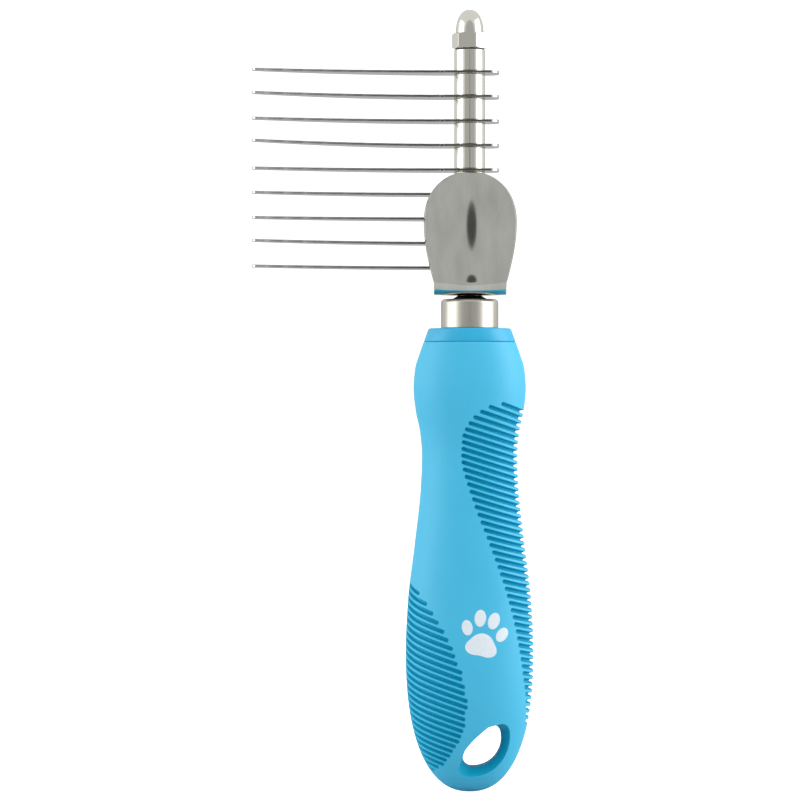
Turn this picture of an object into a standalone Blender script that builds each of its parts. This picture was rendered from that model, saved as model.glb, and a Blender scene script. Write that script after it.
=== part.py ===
"""Dematting comb: nine sickle blades clamped on a threaded rod above a soft-grip handle.

Every piece is a separate solid.  The rod is anchored in a rigid handle core that a rubber
grip is moulded over.  A ferrule, a conical spring washer, a thumb rest, the blades and their
spacers are threaded onto the rod, and a domed acorn nut clamps them.

Frame: the origin is on the rod's axis, in the middle of the hand grip.  +Z runs along the rod
towards the acorn nut, the blades point to -X and their cutting edges face -Y.
"""

import math

import bmesh
import bpy
from mathutils import Matrix, Vector

MM = 0.001

# Clearances: between flat faces that touch, and around a piece that passes through another.
FACE_GAP = 0.03 * MM
FIT_GAP = 0.3 * MM

# Handle, heights measured from its lower end.
GRIP_CENTRE = 60.0 * MM
GRIP_TOP = 114.8 * MM
COLLAR_BOTTOM = 115.1 * MM
COLLAR_TOP = 118.3 * MM
END_LENGTH = 36.0 * MM
END_HALF_WIDTH = 16.35 * MM
END_HALF_DEPTH = 12.0 * MM
END_WIDTH_POWER = 2.35
END_DEPTH_POWER = 2.0
SECTION_POWER = 2.2
GRIP_WALL = 2.4 * MM

# The handle's half width and half depth above its rounded end: (height, size).
HALF_WIDTHS = [
    (36.0 * MM, 16.35 * MM),
    (48.5 * MM, 15.8 * MM),
    (63.0 * MM, 14.1 * MM),
    (78.0 * MM, 12.5 * MM),
    (86.0 * MM, 12.2 * MM),
    (92.0 * MM, 12.7 * MM),
    (97.0 * MM, 13.75 * MM),
    (103.0 * MM, 14.35 * MM),
    (108.0 * MM, 13.95 * MM),
    (112.0 * MM, 12.75 * MM),
    (118.3 * MM, 10.5 * MM),
]
HALF_DEPTHS = [
    (36.0 * MM, 12.0 * MM),
    (60.0 * MM, 11.3 * MM),
    (75.0 * MM, 10.4 * MM),
    (86.0 * MM, 10.0 * MM),
    (103.0 * MM, 11.3 * MM),
    (118.3 * MM, 9.6 * MM),
]

# Hang hole: the hull of three circles (x, height, radius), seen from the front.
HANG_CIRCLES = [
    (0.6 * MM, 9.2 * MM, 2.5 * MM),
    (5.5 * MM, 14.1 * MM, 2.6 * MM),
    (4.3 * MM, 10.9 * MM, 3.0 * MM),
]
HANG_LINING = 1.3 * MM

# Ferrule, conical spring washer and the core's neck inside the ferrule.
FERRULE_RADIUS = 7.35 * MM
FERRULE_HEIGHT = 7.45 * MM
FERRULE_WALL = 0.85 * MM
FERRULE_SHOULDER = 1.0 * MM
NECK_RADIUS = FERRULE_RADIUS - FERRULE_WALL - FIT_GAP
CONE_HEIGHT = 0.8 * MM
CONE_BASE_RADIUS = 4.25 * MM
CONE_TOP_RADIUS = 3.1 * MM

# Rod, M5, with two flats that keep the blades and the thumb rest from turning.
ROD_RADIUS = 2.5 * MM
ROD_TIP_RADIUS = 2.3 * MM
ROD_HALF_FLATS = 2.1 * MM
ROD_BOTTOM = 60.0 * MM
ANCHOR_WIDTH = 8.0 * MM
ANCHOR_HEIGHT = 4.0 * MM
ANCHOR_BOTTOM = 62.0 * MM

# Thumb rest, polished sheet.
REST_SHEET = 1.2 * MM
REST_TOP_HEIGHT = 157.8 * MM
REST_WIDEST_HEIGHT = 145.0 * MM
REST_HALF_WIDTH = 11.65 * MM
REST_FOOT_HALF_WIDTH = 9.2 * MM
REST_FLANGE_RADIUS = 5.6 * MM
REST_BEND = 2.6 * MM
REST_PLANE_Y = -8.0 * MM
REST_DISH = 1.6 * MM

# Blades and spacers.
BLADE_COUNT = 9
BLADE_SHEET = 0.8 * MM
BLADE_TIP_X = -55.3 * MM
BLADE_HEEL_X = 7.5 * MM
BLADE_HALF_WIDTH = 4.6 * MM
BLADE_HEEL_CORNER = 2.9 * MM
BLADE_NOSE_RADIUS = 1.2 * MM
BLADE_SHANK_X = -7.0 * MM
BLADE_SWEEP = 4.2 * MM
BLADE_HOLLOW = 1.5 * MM
BLADE_SPINE_CROWN = 2.2 * MM
SPACER_LENGTH = 5.38 * MM
SPACER_RADIUS = 3.95 * MM

# Nut washer and acorn nut, M5.
WASHER_SHEET = 0.25 * MM
WASHER_RADIUS = 3.7 * MM
NUT_WIDTH = 8.0 * MM
NUT_HEX_HEIGHT = 4.0 * MM
NUT_HEIGHT = 10.0 * MM
NUT_DOME_RADIUS = 3.55 * MM
NUT_DOME_POWER = 2.2
NUT_BORE_DEPTH = 7.3 * MM
NUT_TURN = math.radians(20.0)

ROUND_SEGMENTS = 28
GRIP_SEGMENTS = 36
END_SECTIONS = 8
BODY_SECTIONS = 16


def from_end(height):
    """Z of a height measured from the handle's lower end."""
    return height - GRIP_CENTRE


def clear_scene():
    for old in list(bpy.data.objects):
        bpy.data.objects.remove(old, do_unlink=True)


def new_collection(name):
    made = bpy.data.collections.new(name)
    bpy.context.scene.collection.children.link(made)
    return made


def finish_material(name, colour, metallic, roughness):
    made = bpy.data.materials.new(name)
    made.use_nodes = True
    shader = made.node_tree.nodes["Principled BSDF"]
    shader.inputs["Base Color"].default_value = (*colour, 1.0)
    shader.inputs["Metallic"].default_value = metallic
    shader.inputs["Roughness"].default_value = roughness
    return made


def add_object(name, mesh, collection, finish=None):
    made = bpy.data.objects.new(name, mesh)
    collection.objects.link(made)
    if finish:
        mesh.materials.append(finish_material(name + "_finish", *finish))
    return made


def mesh_from_bmesh(name, shape):
    bmesh.ops.recalc_face_normals(shape, faces=shape.faces)
    made = bpy.data.meshes.new(name)
    shape.to_mesh(made)
    shape.free()
    made.shade_smooth()
    made.set_sharp_from_angle(angle=math.radians(35.0))
    return made


def cut_with(target, cutter, operation="DIFFERENCE"):
    step = target.modifiers.new(cutter.name, "BOOLEAN")
    step.object = cutter
    step.operation = operation
    step.solver = "EXACT"


def as_cutter(cutter):
    cutter.hide_render = True
    cutter.display_type = "WIRE"
    return cutter


def smooth_value(stations, position):
    """Monotone cubic through (position, value) stations, level at the first one."""
    spans = [b[0] - a[0] for a, b in zip(stations, stations[1:])]
    rises = [(b[1] - a[1]) / (b[0] - a[0]) for a, b in zip(stations, stations[1:])]
    slopes = [0.0]
    for before, after in zip(rises, rises[1:]):
        level = before * after <= 0.0
        slopes.append(0.0 if level else 2.0 * before * after / (before + after))
    slopes.append(rises[-1])
    last = len(spans) - 1
    index = 0
    while index < last and position > stations[index + 1][0]:
        index += 1
    t = (position - stations[index][0]) / spans[index]
    t = min(max(t, 0.0), 1.0)
    start, end = stations[index][1], stations[index + 1][1]
    pull_start, pull_end = slopes[index] * spans[index], slopes[index + 1] * spans[index]
    return (
        (2 * t**3 - 3 * t**2 + 1) * start
        + (t**3 - 2 * t**2 + t) * pull_start
        + (3 * t**2 - 2 * t**3) * end
        + (t**3 - t**2) * pull_end
    )


def section_sizes(height, inset):
    """Half width and half depth of the handle at a height, moved in by inset."""
    if height >= END_LENGTH:
        return smooth_value(HALF_WIDTHS, height) - inset, smooth_value(HALF_DEPTHS, height) - inset
    fall = (END_LENGTH - height) / (END_LENGTH - inset)
    wide = (1.0 - fall**END_WIDTH_POWER) ** (1.0 / END_WIDTH_POWER)
    deep = (1.0 - fall**END_DEPTH_POWER) ** (1.0 / END_DEPTH_POWER)
    return (END_HALF_WIDTH - inset) * wide, (END_HALF_DEPTH - inset) * deep


def section_ring(height, inset, segments):
    """One closed superellipse section of the handle."""
    half_width, half_depth = section_sizes(height, inset)
    ring = []
    for step in range(segments):
        angle = 2.0 * math.pi * step / segments
        across, along = math.cos(angle), math.sin(angle)
        x = math.copysign(abs(across) ** (2.0 / SECTION_POWER), across) * half_width
        y = math.copysign(abs(along) ** (2.0 / SECTION_POWER), along) * half_depth
        ring.append(Vector((x, y, from_end(height))))
    return ring


def circle_ring(radius, height, segments):
    ring = []
    for step in range(segments):
        angle = 2.0 * math.pi * step / segments
        ring.append(Vector((radius * math.cos(angle), radius * math.sin(angle), from_end(height))))
    return ring


def handle_heights(inset, top):
    """Section heights from just above the rounded end to the top."""
    heights = []
    for step in range(1, END_SECTIONS + 1):
        turn = 0.5 * math.pi * step / END_SECTIONS
        heights.append(inset + (END_LENGTH - inset) * (1.0 - math.cos(turn)))
    for step in range(1, BODY_SECTIONS + 1):
        heights.append(END_LENGTH + (top - END_LENGTH) * step / BODY_SECTIONS)
    return heights


def loft(name, rings, pole=None):
    """A closed skin through rings of equal count, from a pole point or a flat cap to a flat cap."""
    shape = bmesh.new()
    rows = [[shape.verts.new(point) for point in ring] for ring in rings]
    count = len(rows[0])
    for low, high in zip(rows, rows[1:]):
        for step in range(count):
            after = (step + 1) % count
            shape.faces.new((low[step], low[after], high[after], high[step]))
    if pole is None:
        shape.faces.new(list(reversed(rows[0])))
    else:
        tip = shape.verts.new(pole)
        for step in range(count):
            shape.faces.new((tip, rows[0][(step + 1) % count], rows[0][step]))
    shape.faces.new(rows[-1])
    return mesh_from_bmesh(name, shape)


def turned(name, profile, collection, finish=None, segments=ROUND_SEGMENTS):
    """A ring-shaped turned piece from a closed (radius, z) profile, by the Screw modifier."""
    shape = bmesh.new()
    corners = [shape.verts.new((radius, 0.0, z)) for radius, z in profile]
    for a, b in zip(corners, corners[1:] + corners[:1]):
        shape.edges.new((a, b))
    mesh = bpy.data.meshes.new(name)
    shape.to_mesh(mesh)
    shape.free()
    made = add_object(name, mesh, collection, finish)
    screw = made.modifiers.new("turn", "SCREW")
    screw.steps = segments
    screw.render_steps = segments
    screw.use_merge_vertices = True
    screw.merge_threshold = 0.00001
    screw.use_smooth_shade = True
    return made


def prism(name, outline, normal_axis, low, high, collection):
    """A closed prism over a flat outline; normal_axis is Y or Z."""
    shape = bmesh.new()
    ends = []
    for level in (low, high):
        if normal_axis == "Y":
            ends.append([shape.verts.new((x, level, z)) for x, z in outline])
        else:
            ends.append([shape.verts.new((x, y, level)) for x, y in outline])
    shape.faces.new(ends[0])
    shape.faces.new(ends[1])
    count = len(outline)
    for step in range(count):
        after = (step + 1) % count
        shape.faces.new((ends[0][step], ends[0][after], ends[1][after], ends[1][step]))
    return add_object(name, mesh_from_bmesh(name, shape), collection)


def cylinder(name, radius, low, high, collection, segments=ROUND_SEGMENTS, turn=0.0):
    shape = bmesh.new()
    bmesh.ops.create_cone(
        shape,
        cap_ends=True,
        segments=segments,
        radius1=radius,
        radius2=radius,
        depth=high - low,
        matrix=Matrix.Translation((0.0, 0.0, 0.5 * (low + high))) @ Matrix.Rotation(turn, 4, "Z"),
    )
    return add_object(name, mesh_from_bmesh(name, shape), collection)


def box(name, corner_low, corner_high, collection):
    low, high = Vector(corner_low), Vector(corner_high)
    shape = bmesh.new()
    scaling = Matrix.Diagonal((*(high - low), 1.0))
    bmesh.ops.create_cube(shape, size=1.0, matrix=Matrix.Translation((low + high) * 0.5) @ scaling)
    return add_object(name, mesh_from_bmesh(name, shape), collection)


def hang_outline(grow, steps=36):
    """Outline of the hang hole, grown outwards by grow: the hull of its three circles."""
    outline = []
    for step in range(steps):
        angle = 2.0 * math.pi * step / steps
        nx, nz = math.cos(angle), math.sin(angle)
        x, height, radius = max(HANG_CIRCLES, key=lambda c: c[0] * nx + c[1] * nz + c[2])
        outline.append((x + (radius + grow) * nx, from_end(height) + (radius + grow) * nz))
    return outline


def make_grip(parts, cutters):
    """Rubber grip moulded over the core, lined through the hang hole."""
    skin = [section_ring(h, 0.0, GRIP_SEGMENTS) for h in handle_heights(0.0, GRIP_TOP)]
    grip = add_object(
        "grip",
        loft("grip", skin, pole=(0.0, 0.0, from_end(0.0))),
        parts,
        ((0.08, 0.46, 0.76), 0.0, 0.45),
    )
    inset = GRIP_WALL - FIT_GAP
    hollow_rings = [section_ring(h, inset, ROUND_SEGMENTS) for h in handle_heights(inset, GRIP_TOP)]
    for point in hollow_rings[-1]:
        point.z += 1.0 * MM
    hollow = add_object(
        "grip_hollow", loft("grip_hollow", hollow_rings, pole=(0.0, 0.0, from_end(inset))), cutters
    )
    lining = prism("grip_lining", hang_outline(HANG_LINING), "Y", -20 * MM, 20 * MM, cutters)
    cut_with(hollow, lining)
    hole = prism("hang_hole", hang_outline(0.0), "Y", -20 * MM, 20 * MM, cutters)
    cut_with(grip, as_cutter(hollow))
    cut_with(grip, as_cutter(hole))
    as_cutter(lining)


def make_handle_core(parts, cutters):
    """Rigid core: body inside the grip, visible collar, neck inside the ferrule."""
    heights = handle_heights(GRIP_WALL, COLLAR_BOTTOM)
    rings = [section_ring(height, GRIP_WALL, ROUND_SEGMENTS) for height in heights]
    collar_edge = 0.4 * MM
    rings.append(section_ring(COLLAR_BOTTOM, 0.0, ROUND_SEGMENTS))
    rings.append(section_ring(COLLAR_TOP - collar_edge, 0.0, ROUND_SEGMENTS))
    rings.append(section_ring(COLLAR_TOP, collar_edge, ROUND_SEGMENTS))
    neck_top = COLLAR_TOP + FERRULE_HEIGHT - FERRULE_WALL - FIT_GAP
    rings.append(circle_ring(NECK_RADIUS, COLLAR_TOP, ROUND_SEGMENTS))
    rings.append(circle_ring(NECK_RADIUS, neck_top, ROUND_SEGMENTS))
    core = add_object(
        "handle_core",
        loft("handle_core", rings, pole=(0.0, 0.0, from_end(GRIP_WALL))),
        parts,
        ((0.05, 0.42, 0.72), 0.0, 0.35),
    )
    bore = cylinder(
        "core_bore", ROD_RADIUS + FIT_GAP, from_end(ROD_BOTTOM) - FIT_GAP, from_end(130 * MM), cutters
    )
    pocket = cylinder(
        "anchor_pocket",
        ANCHOR_WIDTH / math.sqrt(3.0) + FIT_GAP,
        from_end(ANCHOR_BOTTOM) - FIT_GAP,
        from_end(ANCHOR_BOTTOM + ANCHOR_HEIGHT) + FIT_GAP,
        cutters,
    )
    grow = HANG_LINING + FIT_GAP
    eye = prism("core_eye", hang_outline(grow), "Y", -20 * MM, 20 * MM, cutters)
    for cutter in (bore, pocket, eye):
        cut_with(core, as_cutter(cutter))


def make_ferrule(parts):
    low = from_end(COLLAR_TOP) + FACE_GAP
    high = low + FERRULE_HEIGHT
    inner = FERRULE_RADIUS - FERRULE_WALL
    hole = ROD_RADIUS + FIT_GAP
    profile = [(hole, high), (hole, high - FERRULE_WALL), (inner, high - FERRULE_WALL), (inner, low)]
    profile.append((FERRULE_RADIUS, low))
    shoulder_steps = 4
    for step in range(shoulder_steps + 1):
        turn = 0.5 * math.pi * step / shoulder_steps
        reach = FERRULE_RADIUS - FERRULE_SHOULDER
        profile.append(
            (
                reach + FERRULE_SHOULDER * math.cos(turn),
                high - FERRULE_SHOULDER + FERRULE_SHOULDER * math.sin(turn),
            )
        )
    turned("ferrule", list(reversed(profile)), parts, ((0.75, 0.74, 0.71), 1.0, 0.15), 36)
    return high


def make_cone_washer(parts, seat):
    low = seat + FACE_GAP
    high = low + CONE_HEIGHT
    hole = ROD_RADIUS + FIT_GAP * 0.7
    profile = [(hole, high), (CONE_TOP_RADIUS, high), (CONE_BASE_RADIUS, low), (hole, low)]
    turned("cone_washer", profile, parts, ((0.12, 0.12, 0.12), 1.0, 0.4))
    return high


def rest_half_width(height):
    """Half width of the thumb plate: straight taper below, superellipse above its widest line."""
    foot = COLLAR_TOP + FERRULE_HEIGHT
    if height < REST_WIDEST_HEIGHT:
        t = (height - foot) / (REST_WIDEST_HEIGHT - foot)
        ease = math.sin(0.5 * math.pi * max(t, 0.0))
        return REST_FOOT_HALF_WIDTH + (REST_HALF_WIDTH - REST_FOOT_HALF_WIDTH) * ease
    t = (height - REST_WIDEST_HEIGHT) / (REST_TOP_HEIGHT - REST_WIDEST_HEIGHT)
    return REST_HALF_WIDTH * max(1.0 - min(t, 1.0) ** 2.15, 0.0) ** (1.0 / 2.15)


def rest_rows(middle):
    """Rows of the thumb rest's middle surface: (y, z, half width, dish)."""
    rows = []
    bend_y = REST_PLANE_Y + REST_BEND
    for step in range(9):
        y = REST_FLANGE_RADIUS * math.cos(0.5 * math.pi * step / 8)
        rows.append((y, middle, math.sqrt(max(REST_FLANGE_RADIUS**2 - y**2, 0.0)), 0.0))
    for step in range(1, 4):
        t = step / 3.0
        ease = t * t * (3.0 - 2.0 * t)
        spread = REST_FLANGE_RADIUS + (REST_FOOT_HALF_WIDTH - REST_FLANGE_RADIUS) * ease
        rows.append((bend_y * t, middle, spread, 0.0))
    for step in range(1, 7):
        turn = 0.5 * math.pi * step / 6
        y = bend_y - REST_BEND * math.sin(turn)
        rows.append((y, middle + REST_BEND * (1.0 - math.cos(turn)), REST_FOOT_HALF_WIDTH, 0.0))
    plate_low = middle + REST_BEND
    plate_high = from_end(REST_TOP_HEIGHT)
    for step in range(1, 17):
        t = math.sin(0.5 * math.pi * step / 16)
        z = plate_low + (plate_high - plate_low) * t
        dish = REST_DISH * math.sin(0.5 * math.pi * min(1.0, 2.5 * t))
        rows.append((REST_PLANE_Y, z, rest_half_width(z + GRIP_CENTRE), dish))
    return rows


def make_thumb_rest(parts, cutters, seat):
    """Dished sheet plate with a flange bent back under the blades, keyed on the rod's flats."""
    middle = seat + FACE_GAP + 0.5 * REST_SHEET
    across = 12
    shape = bmesh.new()
    grid = []
    for y, z, half_width, dish in rest_rows(middle):
        row = []
        for step in range(across + 1):
            u = 2.0 * step / across - 1.0
            x = half_width * math.sin(0.5 * math.pi * u)
            hollow = dish * (1.0 - (x / REST_HALF_WIDTH) ** 2)
            row.append(shape.verts.new((x, y + hollow, z)))
        grid.append(row)
    for low, high in zip(grid, grid[1:]):
        for step in range(across):
            shape.faces.new((low[step], low[step + 1], high[step + 1], high[step]))
    bmesh.ops.remove_doubles(shape, verts=shape.verts, dist=0.00001)
    rest = add_object(
        "thumb_rest", mesh_from_bmesh("thumb_rest", shape), parts, ((0.62, 0.62, 0.6), 1.0, 0.12)
    )
    wall = rest.modifiers.new("sheet", "SOLIDIFY")
    wall.thickness = REST_SHEET
    wall.offset = 0.0
    key = keyed_hole("rest_key", middle, cutters)
    cut_with(rest, as_cutter(key))
    return middle + 0.5 * REST_SHEET


def keyed_outline(radius, half_flats, steps=28):
    """A circle cut by two flats that face +Y and -Y."""
    outline = []
    for step in range(steps):
        angle = 2.0 * math.pi * (step + 0.5) / steps
        y = min(max(radius * math.sin(angle), -half_flats), half_flats)
        outline.append((radius * math.cos(angle), y))
    return outline


def keyed_hole(name, z, cutters):
    outline = keyed_outline(ROD_RADIUS + 0.2 * MM, ROD_HALF_FLATS + 0.2 * MM)
    return prism(name, outline, "Z", z - 2 * MM, z + 2 * MM, cutters)


def arc_between(start, end, bulge, steps):
    """Points on an arc from start to end, bulge being its rise to the left of the chord."""
    start, end = Vector(start), Vector(end)
    chord = end - start
    side = Vector((-chord.y, chord.x)).normalized()
    points = []
    for step in range(steps + 1):
        t = step / steps
        points.append(start + chord * t + side * (4.0 * bulge * t * (1.0 - t)))
    return points


def blade_outline():
    """Plan of a blade: hollow cutting edge, round nose, crowned spine and rounded heel."""
    nose = Vector((BLADE_TIP_X + BLADE_NOSE_RADIUS, -BLADE_HALF_WIDTH - BLADE_SWEEP + BLADE_NOSE_RADIUS))
    edge_start = (BLADE_SHANK_X, -BLADE_HALF_WIDTH)
    edge_end = nose + Vector((0.1 * MM, -BLADE_NOSE_RADIUS))
    spine_start = nose + Vector((0.1 * MM, BLADE_NOSE_RADIUS))
    spine_end = (BLADE_SHANK_X, BLADE_HALF_WIDTH)
    outline = arc_between(edge_start, edge_end, -BLADE_HOLLOW, 14)
    for step in range(1, 8):
        angle = math.radians(270.0 - 180.0 * step / 8)
        outline.append(nose + BLADE_NOSE_RADIUS * Vector((math.cos(angle), math.sin(angle))))
    outline += arc_between(spine_start, spine_end, BLADE_SPINE_CROWN, 14)
    for corner_y, first in ((1.0, 90.0), (-1.0, 0.0)):
        centre = Vector(
            (BLADE_HEEL_X - BLADE_HEEL_CORNER, corner_y * (BLADE_HALF_WIDTH - BLADE_HEEL_CORNER))
        )
        for step in range(6):
            angle = math.radians(first - 90.0 * step / 5)
            outline.append(centre + BLADE_HEEL_CORNER * Vector((math.cos(angle), math.sin(angle))))
    return [(point.x, point.y) for point in outline]


def blade_mesh():
    """Flat blade with its keyed hole, as a filled and extruded 2D curve."""
    flat = bpy.data.curves.new("blade_plan", "CURVE")
    flat.dimensions = "2D"
    flat.fill_mode = "BOTH"
    flat.extrude = 0.5 * BLADE_SHEET
    hole = keyed_outline(ROD_RADIUS + 0.2 * MM, ROD_HALF_FLATS + 0.2 * MM)
    for outline in (blade_outline(), hole):
        spline = flat.splines.new("POLY")
        spline.points.add(len(outline) - 1)
        for point, (x, y) in zip(spline.points, outline):
            point.co = (x, y, 0.0, 1.0)
        spline.use_cyclic_u = True
    holder = bpy.data.objects.new("blade_plan", flat)
    bpy.context.scene.collection.objects.link(holder)
    bpy.context.view_layer.update()
    evaluated = holder.evaluated_get(bpy.context.evaluated_depsgraph_get())
    raw = bpy.data.meshes.new_from_object(evaluated)
    bpy.data.objects.remove(holder, do_unlink=True)
    shape = bmesh.new()
    shape.from_mesh(raw)
    bmesh.ops.remove_doubles(shape, verts=shape.verts, dist=0.000001)
    return mesh_from_bmesh("blade", shape)


def make_stack(parts, seat):
    """Spacers and blades from the thumb rest up to the first spacer under the nut."""
    blank = blade_mesh()
    level = seat
    bore = ROD_RADIUS + FIT_GAP
    for number in range(BLADE_COUNT, -1, -1):
        low = level + FACE_GAP
        high = low + SPACER_LENGTH
        profile = [(bore, high), (SPACER_RADIUS, high), (SPACER_RADIUS, low), (bore, low)]
        turned(f"spacer_{number + 1}", profile, parts, ((0.78, 0.77, 0.74), 1.0, 0.15))
        level = high
        if number:
            blade = add_object(
                f"blade_{number}", blank.copy(), parts, ((0.5, 0.5, 0.48), 1.0, 0.25)
            )
            blade.location.z = level + FACE_GAP + 0.5 * BLADE_SHEET
            level += FACE_GAP + BLADE_SHEET
    return level


def make_rod(parts, cutters, stack_low, stack_high, tip):
    """Rod with a threaded tip, two flats through the stack and its lower end in the anchor nut."""
    chamfer = 0.5 * MM
    shoulder = stack_high - 1.0 * MM
    shape = bmesh.new()
    profile = [
        (0.0, tip),
        (ROD_TIP_RADIUS - chamfer, tip),
        (ROD_TIP_RADIUS, tip - chamfer),
        (ROD_TIP_RADIUS, shoulder),
        (ROD_RADIUS, shoulder),
        (ROD_RADIUS, from_end(ROD_BOTTOM)),
        (0.0, from_end(ROD_BOTTOM)),
    ]
    corners = [shape.verts.new((radius, 0.0, z)) for radius, z in profile]
    for a, b in zip(corners, corners[1:]):
        shape.edges.new((a, b))
    mesh = bpy.data.meshes.new("rod")
    shape.to_mesh(mesh)
    shape.free()
    rod = add_object("rod", mesh, parts, ((0.6, 0.6, 0.58), 1.0, 0.3))
    screw = rod.modifiers.new("turn", "SCREW")
    screw.steps = ROUND_SEGMENTS
    screw.render_steps = ROUND_SEGMENTS
    screw.use_merge_vertices = True
    screw.merge_threshold = 0.00001
    for side in (-1.0, 1.0):
        near, far = sorted((side * ROD_HALF_FLATS, side * 4.0 * MM))
        name = "rod_flat_back" if side > 0 else "rod_flat_front"
        flat = box(name, (-4 * MM, near, stack_low), (4 * MM, far, shoulder - 0.5 * MM), cutters)
        cut_with(rod, as_cutter(flat))


def make_anchor_nut(parts, cutters):
    low = from_end(ANCHOR_BOTTOM)
    high = low + ANCHOR_HEIGHT
    corner = ANCHOR_WIDTH / math.sqrt(3.0)
    nut = cylinder("anchor_nut", corner, low, high, parts, segments=6)
    nut.data.materials.append(finish_material("anchor_nut_finish", (0.6, 0.6, 0.58), 1.0, 0.35))
    bore = cylinder("anchor_bore", ROD_RADIUS + 0.2 * MM, low - 1 * MM, high + 1 * MM, cutters)
    cut_with(nut, as_cutter(bore))


def make_nut_washer(parts, seat):
    low = seat + FACE_GAP
    high = low + WASHER_SHEET
    bore = ROD_RADIUS + 0.2 * MM
    profile = [(bore, high), (WASHER_RADIUS, high), (WASHER_RADIUS, low), (bore, low)]
    turned("nut_washer", profile, parts, ((0.3, 0.3, 0.29), 1.0, 0.3))
    return high


def make_acorn_nut(parts, cutters, seat):
    """Hexagon with a dome, chamfered corners and a blind bore."""
    low = seat + FACE_GAP
    corner = NUT_WIDTH / math.sqrt(3.0)
    flat = 0.5 * NUT_WIDTH
    chamfer = (corner - flat) * 0.6
    nut = cylinder(
        "acorn_nut", corner, low, low + NUT_HEIGHT, parts, segments=6, turn=NUT_TURN
    )
    nut.data.materials.append(finish_material("acorn_nut_finish", (0.78, 0.77, 0.74), 1.0, 0.12))
    wide = corner + 1.0 * MM
    hex_top = low + NUT_HEX_HEIGHT
    shape = bmesh.new()
    profile = [(0.0, low + NUT_HEIGHT)]
    dome_steps = 7
    for step in range(1, dome_steps + 1):
        turn = 0.5 * math.pi * step / dome_steps
        radius = NUT_DOME_RADIUS * math.sin(turn) ** (2.0 / NUT_DOME_POWER)
        rise = (NUT_HEIGHT - NUT_HEX_HEIGHT) * max(math.cos(turn), 0.0) ** (2.0 / NUT_DOME_POWER)
        profile.append((radius, hex_top + rise))
    profile.append((flat * 0.98, hex_top))
    profile.append((wide, hex_top - (wide - flat * 0.98) * 0.55))
    profile.append((wide, low + (wide - flat * 0.98) * 0.55))
    profile.append((flat * 0.98, low))
    profile.append((0.0, low))
    corners = [shape.verts.new((radius, 0.0, z)) for radius, z in profile]
    for a, b in zip(corners, corners[1:]):
        shape.edges.new((a, b))
    mesh = bpy.data.meshes.new("nut_envelope")
    shape.to_mesh(mesh)
    shape.free()
    envelope = add_object("nut_envelope", mesh, cutters)
    screw = envelope.modifiers.new("turn", "SCREW")
    screw.steps = ROUND_SEGMENTS
    screw.render_steps = ROUND_SEGMENTS
    screw.use_merge_vertices = True
    screw.merge_threshold = 0.00001
    cut_with(nut, as_cutter(envelope), "INTERSECT")
    bore = cylinder(
        "nut_bore", ROD_TIP_RADIUS + FIT_GAP, low - 1 * MM, low + NUT_BORE_DEPTH, cutters
    )
    cut_with(nut, as_cutter(bore))
    return low


def main():
    clear_scene()
    parts = new_collection("dematting_comb")
    cutters = new_collection("cutters")
    make_grip(parts, cutters)
    make_handle_core(parts, cutters)
    make_anchor_nut(parts, cutters)
    ferrule_top = make_ferrule(parts)
    washer_top = make_cone_washer(parts, ferrule_top)
    rest_top = make_thumb_rest(parts, cutters, washer_top)
    stack_top = make_stack(parts, rest_top)
    nut_seat = make_nut_washer(parts, stack_top)
    nut_low = make_acorn_nut(parts, cutters, nut_seat)
    make_rod(parts, cutters, ferrule_top, nut_seat, nut_low + NUT_BORE_DEPTH - FIT_GAP)


main()
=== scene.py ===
"""Looks of the dematting comb: each visible piece is rebuilt in fine detail round the model.

Sizes are in millimetres in the model's own frame: the rod stands along +Z, the blades point
to -X and the cutting edges face -Y.  The sections follow the comb's assembly, handle first.
"""

import math

import bmesh
import bpy
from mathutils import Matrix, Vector


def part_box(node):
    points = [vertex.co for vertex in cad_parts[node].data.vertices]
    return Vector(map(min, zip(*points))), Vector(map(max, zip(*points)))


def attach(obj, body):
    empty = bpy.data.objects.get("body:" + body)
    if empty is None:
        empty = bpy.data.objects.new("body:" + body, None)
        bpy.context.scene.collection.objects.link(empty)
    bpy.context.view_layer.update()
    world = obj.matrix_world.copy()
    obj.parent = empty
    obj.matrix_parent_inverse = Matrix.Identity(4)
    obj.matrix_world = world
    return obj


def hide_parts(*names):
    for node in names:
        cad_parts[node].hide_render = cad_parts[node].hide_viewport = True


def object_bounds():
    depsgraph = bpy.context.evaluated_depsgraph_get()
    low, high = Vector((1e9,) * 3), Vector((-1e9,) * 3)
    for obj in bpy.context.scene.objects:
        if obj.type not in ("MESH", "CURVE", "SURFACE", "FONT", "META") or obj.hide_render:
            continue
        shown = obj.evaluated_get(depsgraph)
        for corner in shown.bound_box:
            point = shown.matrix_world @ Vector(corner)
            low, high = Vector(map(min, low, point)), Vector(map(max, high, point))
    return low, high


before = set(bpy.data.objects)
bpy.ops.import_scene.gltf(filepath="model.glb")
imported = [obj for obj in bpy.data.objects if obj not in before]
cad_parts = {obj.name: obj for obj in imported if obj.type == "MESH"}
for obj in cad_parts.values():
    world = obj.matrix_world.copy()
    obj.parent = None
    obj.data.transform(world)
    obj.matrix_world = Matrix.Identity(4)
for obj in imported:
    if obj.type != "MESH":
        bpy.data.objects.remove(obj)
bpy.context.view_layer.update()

# ---------------------------------------------------------------- handle core
# The stiff inside of the handle, injection moulded in blue polypropylene: a body that the
# rubber is moulded over, an oval collar that shows above the rubber, and a round neck that the
# ferrule is pushed over.  The rod's end and its nut are held in a bore down the middle.


def add_node(tree, kind, inputs=None, **settings):
    """Adds one node; inputs maps a socket to a value or to another node's output."""
    made = tree.nodes.new(kind)
    for key, value in settings.items():
        setattr(made, key, value)
    for socket, value in (inputs or {}).items():
        if isinstance(value, bpy.types.NodeSocket):
            tree.links.new(value, made.inputs[socket])
        else:
            made.inputs[socket].default_value = value
    return made


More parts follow.
